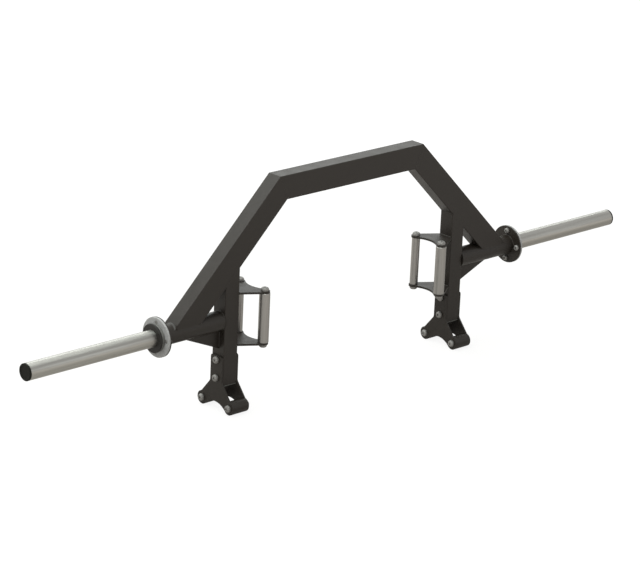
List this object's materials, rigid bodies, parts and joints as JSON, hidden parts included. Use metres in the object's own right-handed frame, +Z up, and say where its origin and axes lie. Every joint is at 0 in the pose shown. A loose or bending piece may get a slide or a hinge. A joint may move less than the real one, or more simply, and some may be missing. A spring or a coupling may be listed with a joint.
{
  "type": "open-ended trap bar",
  "caption": "Weight-lifting bar with an arched rectangular-tube frame, plate sleeves at both ends, paired grips of two diameters and bolted jack feet.",
  "frame": {"origin": "on the floor midway between the feet, under the middle of the arch", "axes": "+X along the right-hand sleeve, -Y towards the side of the thick grips, +Z up with the bar standing on its jack feet"},
  "size_m": [2.3368, 0.156, 0.67],
  "materials": {
    "frame_coating": "satin near-black powder coat on welded steel tube and plate",
    "bright_steel": "turned steel with a satin bright finish",
    "zinc_bolts": "bright zinc-plated fasteners",
    "black_ring": "black-coated steel collar",
    "black_plastic": "moulded black plastic plugs and caps",
    "bronze": "sintered bronze bearing, hidden inside the sleeve"
  },
  "bodies": {
    "frame": {"top_bar": "frame_coating", "left_diagonal": "frame_coating", "right_diagonal": "frame_coating", "left_post": "frame_coating", "right_post": "frame_coating", "left_post_plug": "black_plastic", "right_post_plug": "black_plastic", "left_pipe": "frame_coating", "right_pipe": "frame_coating", "left_gusset": "frame_coating", "right_gusset": "frame_coating", "left_frame_flange": "frame_coating", "right_frame_flange": "frame_coating", "left_flange_bolts": "zinc_bolts", "right_flange_bolts": "zinc_bolts", "left_upper_fork": "frame_coating", "left_lower_fork": "frame_coating", "right_upper_fork": "frame_coating", "right_lower_fork": "frame_coating", "left_thick_grip": "bright_steel", "left_thin_grip": "bright_steel", "right_thick_grip": "bright_steel", "right_thin_grip": "bright_steel", "left_grip_bolts": "zinc_bolts", "right_grip_bolts": "zinc_bolts", "left_outer_foot_plate": "frame_coating", "left_inner_foot_plate": "frame_coating", "right_outer_foot_plate": "frame_coating", "right_inner_foot_plate": "frame_coating", "left_foot_tubes": "frame_coating", "right_foot_tubes": "frame_coating", "left_foot_bolts": "zinc_bolts", "right_foot_bolts": "zinc_bolts", "left_foot_nuts": "zinc_bolts", "right_foot_nuts": "zinc_bolts", "left_sleeve_flange": "bright_steel", "right_sleeve_flange": "bright_steel", "left_spindle": "bright_steel", "right_spindle": "bright_steel", "left_thrust_washer": "bronze", "right_thrust_washer": "bronze", "left_keeper_washer": "zinc_bolts", "right_keeper_washer": "zinc_bolts", "left_end_bolt": "zinc_bolts", "right_end_bolt": "zinc_bolts"},
    "left_sleeve_unit": {"left_sleeve": "bright_steel", "left_stop_collar": "bright_steel", "left_stop_ring": "black_ring", "left_bushes": "bronze", "left_end_cap": "black_plastic"},
    "right_sleeve_unit": {"right_sleeve": "bright_steel", "right_stop_collar": "bright_steel", "right_stop_ring": "black_ring", "right_bushes": "bronze", "right_end_cap": "black_plastic"}
  },
  "joints": [
    {"name": "left_sleeve_spin", "type": "hinge", "parent": "frame", "child": "left_sleeve_unit", "pos_m": [-0.9439, 0, 0.27], "axis": [-1, 0, 0], "continuous": true},
    {"name": "right_sleeve_spin", "type": "hinge", "parent": "frame", "child": "right_sleeve_unit", "pos_m": [0.9439, 0, 0.27], "axis": [1, 0, 0], "continuous": true}
  ]
}
